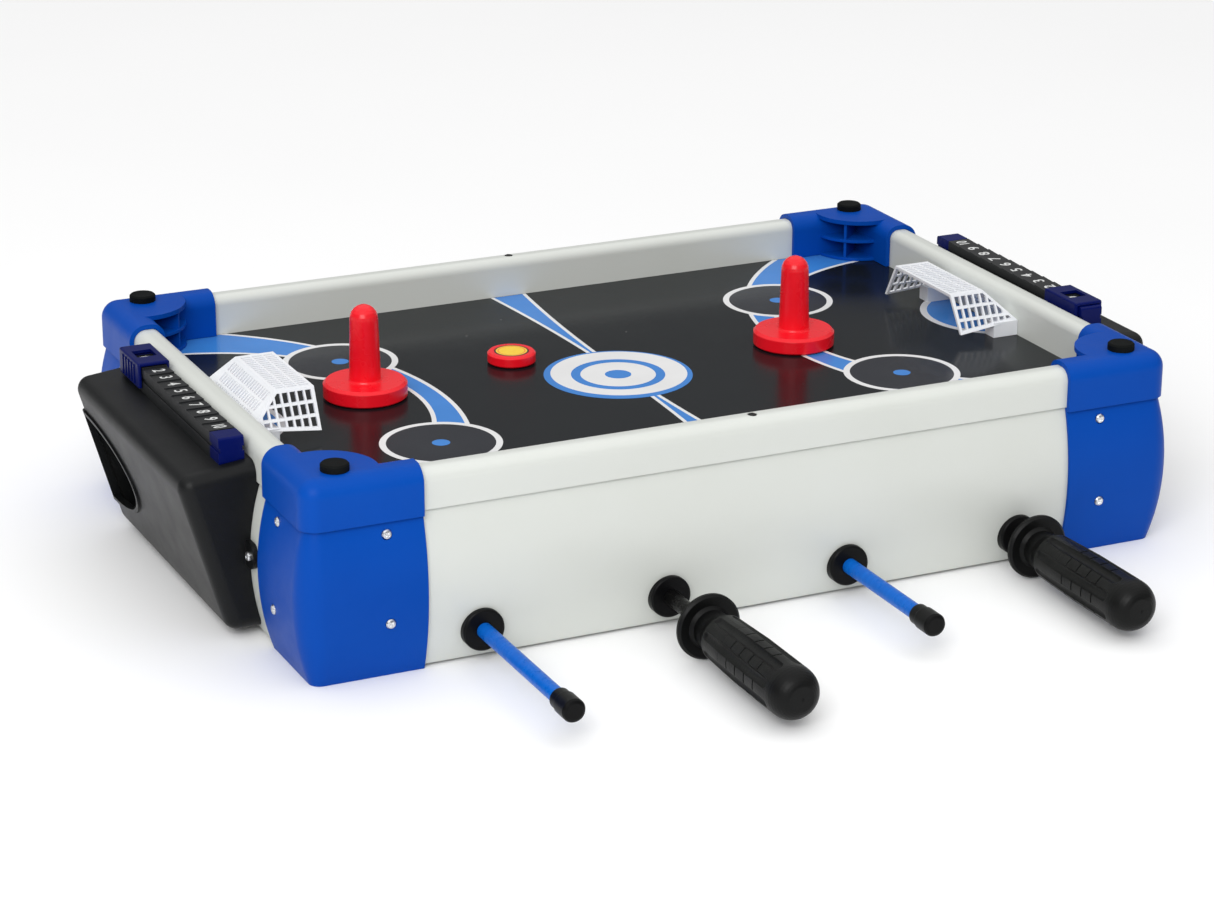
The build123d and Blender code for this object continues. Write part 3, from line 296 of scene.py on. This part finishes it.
def steel(name, tint, shade, gloss):
    paint = Painter(name)
    paint.colour(tint, shade, 300)
    paint.gloss(*gloss, 900)
    paint.relief(2500, 0.02, 0.15)
    paint.set(Metallic=1.0)
    return paint.material


def board_gloss():
    """Black laminate: dark, very smooth, with a little dust."""
    paint = Painter("board_gloss")
    dust = paint.node("ShaderNodeTexVoronoi", feature="F1")
    dust.inputs["Scale"].default_value = 45
    paint.link(paint.place, dust.inputs["Vector"])
    speck = paint.spread(dust.outputs["Distance"], 1.0, 0.0, 0.02, 0.035)
    base = paint.mix(speck, (0.007, 0.009, 0.011), (0.10, 0.10, 0.10))
    paint.link(base, paint.shader.inputs["Base Color"])
    paint.gloss(0.16, 0.21, 25)
    paint.relief(60, 0.01)
    paint.set(Specular_IOR_Level=0.12)
    return paint.material


def ink(name, tint, shade):
    """Printed colour under the same gloss as the board."""
    paint = Painter(name)
    paint.colour(tint, shade, 30)
    paint.gloss(0.16, 0.22, 25)
    paint.relief(900, 0.01)
    paint.set(Specular_IOR_Level=0.2)
    return paint.material


def turf():
    """Football side: printed green with mown stripes along Y."""
    paint = Painter("turf")
    split = paint.node("ShaderNodeSeparateXYZ")
    paint.link(paint.place, split.inputs["Vector"])
    wave = paint.node("ShaderNodeMath", operation="SINE")
    turns = paint.node("ShaderNodeMath", operation="MULTIPLY")
    turns.inputs[1].default_value = 2 * pi / (MOWN_PAIR * MM)
    paint.link(split.outputs["X"], turns.inputs[0])
    paint.link(turns.outputs["Value"], wave.inputs[0])
    stripe = paint.spread(wave.outputs["Value"], 0.0, 1.0, -0.05, 0.05)
    base = paint.mix(stripe, (0.015, 0.14, 0.03), (0.022, 0.19, 0.04))
    speckle = paint.spread(paint.noise(1500, 2.0), 0.0, 0.35)
    paint.link(paint.mix(speckle, base, (0.01, 0.09, 0.02)), paint.shader.inputs["Base Color"])
    paint.gloss(0.26, 0.34)
    paint.relief(900, 0.02)
    return paint.material


def disc_print():
    """The puck's disc: yellow, a fine orange ring, and a dark edge that is painted shade of the gap
    round it.
    """
    low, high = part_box("puck_disc")
    paint = Painter("disc_print")
    from_centre = paint.radius((low + high) / 2)
    drift = paint.spread(paint.noise(500, 3.0), 0.0, 1.0)
    yellow = paint.mix(drift, (0.90, 0.56, 0.02), (0.95, 0.66, 0.04))
    ring = paint.mix(paint.step(from_centre, DISC_RING[0]), yellow, (0.80, 0.20, 0.02))
    thin = paint.mix(paint.step(from_centre, DISC_RING[1]), ring, yellow)
    # painted shade: the disc's outer edge is darkened to stand for the shadow in the gap between
    # disc and recess
    rim = paint.mix(paint.step(from_centre, DISC_GAP_SHADE), thin, (0.03, 0.01, 0.01))
    paint.link(rim, paint.shader.inputs["Base Color"])
    paint.gloss(0.30, 0.40, 200)
    paint.relief(900, 0.02)
    return paint.material


def floor_paint():
    paint = Painter("floor_paint")
    paint.colour(FLOOR_COLOUR, tuple(0.985 * value for value in FLOOR_COLOUR), 2)
    paint.gloss(0.85, 0.95, 5)
    paint.set(Specular_IOR_Level=0.1)
    return paint.material


def dress_cad_nodes():
    """One material for each kind of CAD piece, by the start of its name."""
    red_player = plastic("player_red", PLAYER_EDGE)
    blue_player = plastic("player_blue", PLAYER_EDGE)
    zinc = steel("zinc_steel", (0.62, 0.63, 0.65), (0.72, 0.73, 0.75), (0.22, 0.34))
    black = steel("black_steel", (0.03, 0.03, 0.03), (0.05, 0.05, 0.05), (0.35, 0.5))
    bush = plastic("bush_plastic")
    red = red_plastic()
    finishes = (
        ("wall_", plastic("wall_plastic")),
        ("corner_screws", zinc),
        ("box_screws", zinc),
        ("rail_screws", black),
        ("corner_", plastic("corner_plastic")),
        ("pad_", plastic("pad_rubber")),
        ("rod_bushes", bush),
        ("rod_rings", bush),
        *((f"rod_{number}", rod_enamel(number)) for number in range(1, 5)),
        ("grip_", plastic("grip_rubber")),
        ("end_cap_", bush),
        ("players_1", red_player),
        ("players_3", red_player),
        ("players_", blue_player),
        ("ball_box_", plastic("box_plastic")),
        ("score_bar_", plastic("bar_plastic")),
        ("score_", plastic("navy_plastic")),
        ("hockey_goal_", goal_plastic()),
        ("hockey_board", board_gloss()),
        ("football_board", turf()),
        ("pusher_", red),
        ("puck_disc", disc_print()),
        ("puck", red),
    )
    for name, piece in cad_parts.items():
        finish = next(material for start, material in finishes if name.startswith(start))
        piece.data.materials.clear()
        piece.data.materials.append(finish)


# ================================================================ flat prints
def put_on_table(name, mesh):
    piece = bpy.data.objects.new(name, mesh)
    bpy.context.scene.collection.objects.link(piece)
    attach(piece, "table")


class Sheet:
    """Collects flat outlines in mm and turns them into one thin printed layer."""

    def __init__(self):
        self.points = []
        self.faces = []

    def strip(self, rows):
        """Quads between (y, x from, x to) rows."""
        start = len(self.points)
        for y, x_from, x_to in rows:
            self.points += [(x_from, y), (x_to, y)]
        for k in range(len(rows) - 1):
            a = start + 2 * k
            self.faces.append((a, a + 1, a + 3, a + 2))

    def circle_point(self, centre, radius, k):
        angle = 2 * pi * k / ROUND_STEPS
        self.points.append((centre[0] + radius * cos(angle), centre[1] + radius * sin(angle)))

    def ring(self, centre, inner, outer):
        start = len(self.points)
        for k in range(ROUND_STEPS):
            self.circle_point(centre, inner, k)
            self.circle_point(centre, outer, k)
        for k in range(ROUND_STEPS):
            a, b = start + 2 * k, start + 2 * ((k + 1) % ROUND_STEPS)
            self.faces.append((a, a + 1, b + 1, b))

    def disc(self, centre, radius):
        start = len(self.points)
        for k in range(ROUND_STEPS):
            self.circle_point(centre, radius, k)
        self.faces.append(tuple(range(start, start + ROUND_STEPS)))

    def bar(self, x, y):
        """An upright rectangle from x[0] to x[1] and from y[0] to y[1]."""
        self.strip([(y[0], *x), (y[1], *x)])

    def slab_faces(self):
        """Top faces, bottom faces and a side face at each edge that only one face has."""
        count = len(self.points)
        faces = list(self.faces)
        faces += [tuple(count + v for v in reversed(face)) for face in self.faces]
        sides = {}
        for face in self.faces:
            for a, b in zip(face, face[1:] + face[:1]):
                if (b, a) in sides:
                    del sides[(b, a)]
                else:
                    sides[(a, b)] = (b, a, count + a, count + b)
        return faces + list(sides.values())

    def build(self, name, material, slot, top_z, bottom_z):
        """A closed slab from bottom_z to top_z, fixed to the table."""
        vertices = [(x * MM, y * MM, top_z * MM) for x, y in self.points]
        vertices += [(x * MM, y * MM, bottom_z * MM) for x, y in self.points]
        mesh = bpy.data.meshes.new(name)
        mesh.from_pydata(vertices, [], self.slab_faces())
        mesh.validate()
        if top_z < bottom_z:
            mesh.flip_normals()
        mesh.materials.append(material)
        put_on_table(name, mesh)


def rows_between(low, high, count, left, right):
    """Rows from low to high; left and right give x at each y."""
    rows = []
    for k in range(count + 1):
        y = low + (high - low) * k / count
        rows.append((y, left(y), right(y)))
    return rows


def circle_x(circle, y, grow=0.0):
    """x of the circle's side toward the field's centre, for the left half."""
    centre_x, centre_y, radius = circle
    inside = (radius + grow) ** 2 - (y - centre_y) ** 2
    if inside <= 0:
        return -PRINT_HALF_X
    return max(-PRINT_HALF_X, -centre_x + sqrt(inside))


def both_halves(sheet, rows, shift):
    """Adds rows for the left half and their mirror image for the right half."""
    sheet.strip([(y, max(a + shift, -PRINT_HALF_X), b + shift) for y, a, b in rows])
    sheet.strip([(y, -b + shift, min(-a + shift, PRINT_HALF_X)) for y, a, b in rows])


def ring_places():
    for side in (-1, 1):
        for end in (-1, 1):
            yield side * RING_PLACE[0] + RING_SHIFT[0], end * RING_PLACE[1] + RING_SHIFT[1]


def waist_half(y):
    return WAIST_HALF + (y - WAIST_Y) ** 2 / (2 * WAIST_CURVE)


def waist_left(y):
    return WAIST_X - waist_half(y)


def waist_right(y):
    return WAIST_X + waist_half(y)


def goal_edge(_y):
    """The left end of the print, whatever the y."""
    return -PRINT_HALF_X


def across_field(count, left, right):
    return rows_between(-PRINT_HALF_Y, PRINT_HALF_Y, count, left, right)


def crease_rows(radius):
    """Rows of the half disc of this radius in front of the left goal."""
    low = CREASE_CENTRE[1] - radius + CREASE_TRIM
    high = CREASE_CENTRE[1] + radius - CREASE_TRIM
    circle = (*CREASE_CENTRE, radius)
    return rows_between(low, high, CREASE_ROWS, goal_edge, lambda y: circle_x(circle, y))


def band_sheet():
    """A curved band at each end and the hourglass across the middle."""
    sheet = Sheet()
    rows = across_field(
        BAND_ROWS, lambda y: circle_x(BAND_INNER, y), lambda y: circle_x(BAND_OUTER, y)
    )
    both_halves(sheet, rows, BAND_SHIFT)
    sheet.strip(across_field(WAIST_ROWS, waist_left, waist_right))
    return sheet


def outline_sheet():
    """White edges of the bands and white half discs before the goals."""
    sheet = Sheet()
    for circle, low, high in ((BAND_INNER, 0.0, OUTLINE), (BAND_OUTER, -OUTLINE, 0.0)):
        rows = across_field(
            BAND_ROWS, lambda y: circle_x(circle, y, low), lambda y: circle_x(circle, y, high)
        )
        both_halves(sheet, rows, BAND_SHIFT)
    left_line = across_field(WAIST_ROWS, waist_left, lambda y: waist_left(y) + WAIST_OUTLINE)
    right_line = across_field(WAIST_ROWS, lambda y: waist_right(y) - WAIST_OUTLINE, waist_right)
    sheet.strip(left_line)
    sheet.strip(right_line)
    both_halves(sheet, crease_rows(CREASE_RADIUS), 0.0)
    return sheet


def ring_sheets():
    """Black discs, the white rings on them, and the blue dots and goal fills."""
    covers = Sheet()
    marks = Sheet()
    spots = Sheet()
    for place in ring_places():
        covers.disc(place, RING_RADIUS - RING_COVER_INSET)
        marks.ring(place, RING_RADIUS - RING_LINE, RING_RADIUS)
        spots.disc(place, DOT_RADIUS)
    both_halves(spots, crease_rows(CREASE_FILL), 0.0)
    return covers, marks, spots


def badge_sheets():
    """A plain round badge in the middle: rim, white field, ring and dot."""
    rim = Sheet()
    rim.disc(BADGE_PLACE, BADGE_RADIUS)
    white = Sheet()
    white.disc(BADGE_WHITE_PLACE, BADGE_RADIUS - BADGE_RIM)
    mark = Sheet()
    mark.ring(BADGE_PLACE, *BADGE_RING)
    mark.disc(BADGE_PLACE, BADGE_DOT)
    return rim, white, mark


def hockey_print():
    """All printed layers of the hockey field, from the board up."""
    blue_ink = ink("blue_ink", (0.040, 0.205, 0.58), (0.050, 0.23, 0.64))
    white_ink = ink("white_ink", (0.74, 0.74, 0.74), (0.80, 0.80, 0.80))
    black_ink = ink("black_ink", (0.014, 0.016, 0.022), (0.020, 0.022, 0.029))
    covers, marks, spots = ring_sheets()
    rim, white, mark = badge_sheets()
    layers = (
        ("print_bands", band_sheet(), blue_ink),
        ("print_outlines", outline_sheet(), white_ink),
        ("print_covers", covers, black_ink),
        ("print_rings", marks, white_ink),
        ("print_spots", spots, blue_ink),
        ("print_badge", rim, blue_ink),
        ("print_badge_white", white, white_ink),
        ("print_badge_mark", mark, blue_ink),
    )
    for k, (name, sheet, material) in enumerate(layers, 1):
        sheet.build(name, material, "hockey_print", FIELD_Z + k * INK, FIELD_Z - INK)


def football_lines():
    """Touch lines, both penalty and goal areas, and the halfway line."""
    line = PITCH_LINE
    sheet = Sheet()
    for side in (-1, 1):
        end_line = sorted((side * PITCH_HALF_X, side * (PITCH_HALF_X - line)))
        sheet.bar(end_line, (-PITCH_HALF_Y, PITCH_HALF_Y))
        touch_line = sorted((side * PITCH_HALF_Y, side * (PITCH_HALF_Y - line)))
        sheet.bar((-PITCH_HALF_X + line, PITCH_HALF_X - line), touch_line)
        for depth, half in PITCH_AREAS:
            inside = side * (PITCH_HALF_X - depth)
            sheet.bar(sorted((inside, inside + side * line)), (-half, half))
            for end in (-1, 1):
                reach = sorted((inside + side * line, side * (PITCH_HALF_X - line)))
                sheet.bar(reach, sorted((end * half, end * (half - line))))
    sheet.bar((-line / 2, line / 2), (-PITCH_HALF_Y + line, PITCH_HALF_Y - line))
    return sheet


def football_print():
    """White lines on the underside of the football board."""
    paint = ink("line_ink", (0.72, 0.74, 0.72), (0.78, 0.80, 0.78))
    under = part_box("football_board")[0].z / MM
    football_lines().build("turf_lines", paint, "football_print", under - INK, under + INK)
    marks = Sheet()
    marks.ring((0, 0), PITCH_CIRCLE - PITCH_LINE, PITCH_CIRCLE)
    marks.disc((0, 0), PITCH_SPOT)
    marks.build("turf_circle", paint, "football_print", under - 2 * INK, under + INK)


# ================================================================ score figures
def figure_mesh(name, number):
    """The mesh of one number, lying flat round the origin."""
    curve = bpy.data.curves.new(name, "FONT")
    curve.body = str(number)
    curve.size = FIGURE_SIZE * MM
    curve.align_x = "CENTER"
    curve.align_y = "CENTER"
    curve.extrude = FIGURE_THICK * MM
    curve.offset = FIGURE_WEIGHT * MM
    text = bpy.data.objects.new(name, curve)
    bpy.context.scene.collection.objects.link(text)
    mesh = bpy.data.meshes.new_from_object(text)
    bpy.data.objects.remove(text)
    return mesh


def score_figures():
    """White figures 0 to 10 on both bars, read from the outer side."""
    paint = ink("figure_ink", (0.70, 0.71, 0.70), (0.76, 0.77, 0.76))
    low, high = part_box("score_bar_left")
    place_x = (low.x + high.x) / 2
    place_z = high.z - SHINGLE_DROP / 2 * MM + FIGURE_LIFT * MM
    tilt = Matrix.Rotation(-atan2(SHINGLE_DROP, FIGURE_PITCH), 4, "X")
    upright = Matrix.Rotation(-pi / 2, 4, "Z")
    for side, turn in (("left", 0.0), ("right", pi)):
        for number in range(FIGURE_COUNT):
            name = f"figure_{side}_{number}"
            mesh = figure_mesh(name, number)
            place_y = (FIGURE_ZERO_Y - number * FIGURE_PITCH) * MM
            place = Matrix.Translation((place_x, place_y, place_z)) @ tilt
            narrow = Matrix.Diagonal((TWO_DIGIT_WIDTH if number > 9 else 1.0, 1.0, 1.0, 1.0))
            mesh.transform(Matrix.Rotation(turn, 4, "Z") @ place @ upright @ narrow)
            mesh.materials.clear()
            mesh.materials.append(paint)
            put_on_table(name, mesh)


# ================================================================ stage
def floor():
    mesh = bpy.data.meshes.new("floor")
    half = FLOOR_SIZE / 2
    corners = [(-half, -half, 0), (half, -half, 0), (half, half, 0), (-half, half, 0)]
    mesh.from_pydata(corners, [], [(0, 1, 2, 3)])
    mesh.materials.append(floor_paint())
    plane = bpy.data.objects.new("floor", mesh)
    bpy.context.scene.collection.objects.link(plane)


def soft_light(name, place, aim, size, power):
    lamp = bpy.data.lights.new(name, "AREA")
    lamp.shape = "RECTANGLE"
    lamp.size, lamp.size_y = size
    lamp.energy = power
    stand = bpy.data.objects.new(name, lamp)
    stand.location = place
    direction = Vector(place) - Vector(aim)
    stand.rotation_euler = direction.to_track_quat("Z", "Y").to_euler()
    bpy.context.scene.collection.objects.link(stand)


def studio():
    """A room that is pale overhead and darker round the sides, and one broad lamp."""
    scene = bpy.context.scene
    scene.view_settings.view_transform = "Standard"
    world = bpy.data.worlds.new("studio")
    world.use_nodes = True
    tree = world.node_tree
    sky = tree.nodes["Background"]
    place = tree.nodes.new("ShaderNodeTexCoord")
    split = tree.nodes.new("ShaderNodeSeparateXYZ")
    rise = tree.nodes.new("ShaderNodeMapRange")
    rise.inputs["From Min"].default_value = SKY_RISE[0]
    rise.inputs["From Max"].default_value = SKY_RISE[1]
    rise.inputs["To Min"].default_value = SKY_LOW
    rise.inputs["To Max"].default_value = SKY_HIGH
    tree.links.new(place.outputs["Generated"], split.inputs["Vector"])
    tree.links.new(split.outputs["Z"], rise.inputs["Value"])
    tree.links.new(rise.outputs["Result"], sky.inputs["Strength"])
    sky.inputs["Color"].default_value = (1, 1, 1, 1)
    scene.world = world
    soft_light("key", KEY_PLACE, KEY_AIM, KEY_SIZE, KEY_POWER)


def camera():
    lens = bpy.data.cameras.new("camera")
    lens.lens = CAMERA_LENS
    lens.sensor_width = SENSOR_WIDTH
    view = bpy.data.objects.new("camera", lens)
    turn = Matrix.Rotation(radians(CAMERA_AZIMUTH), 4, "Z")
    tilt = Matrix.Rotation(radians(90 - CAMERA_ELEVATION), 4, "X")
    roll = Matrix.Rotation(radians(CAMERA_ROLL), 4, "Z")
    view.matrix_world = Matrix.Translation(CAMERA_PLACE) @ turn @ tilt @ roll
    bpy.context.scene.collection.objects.link(view)
    bpy.context.scene.camera = view


dress_cad_nodes()
hockey_print()
football_print()
score_figures()
floor()
studio()
camera()
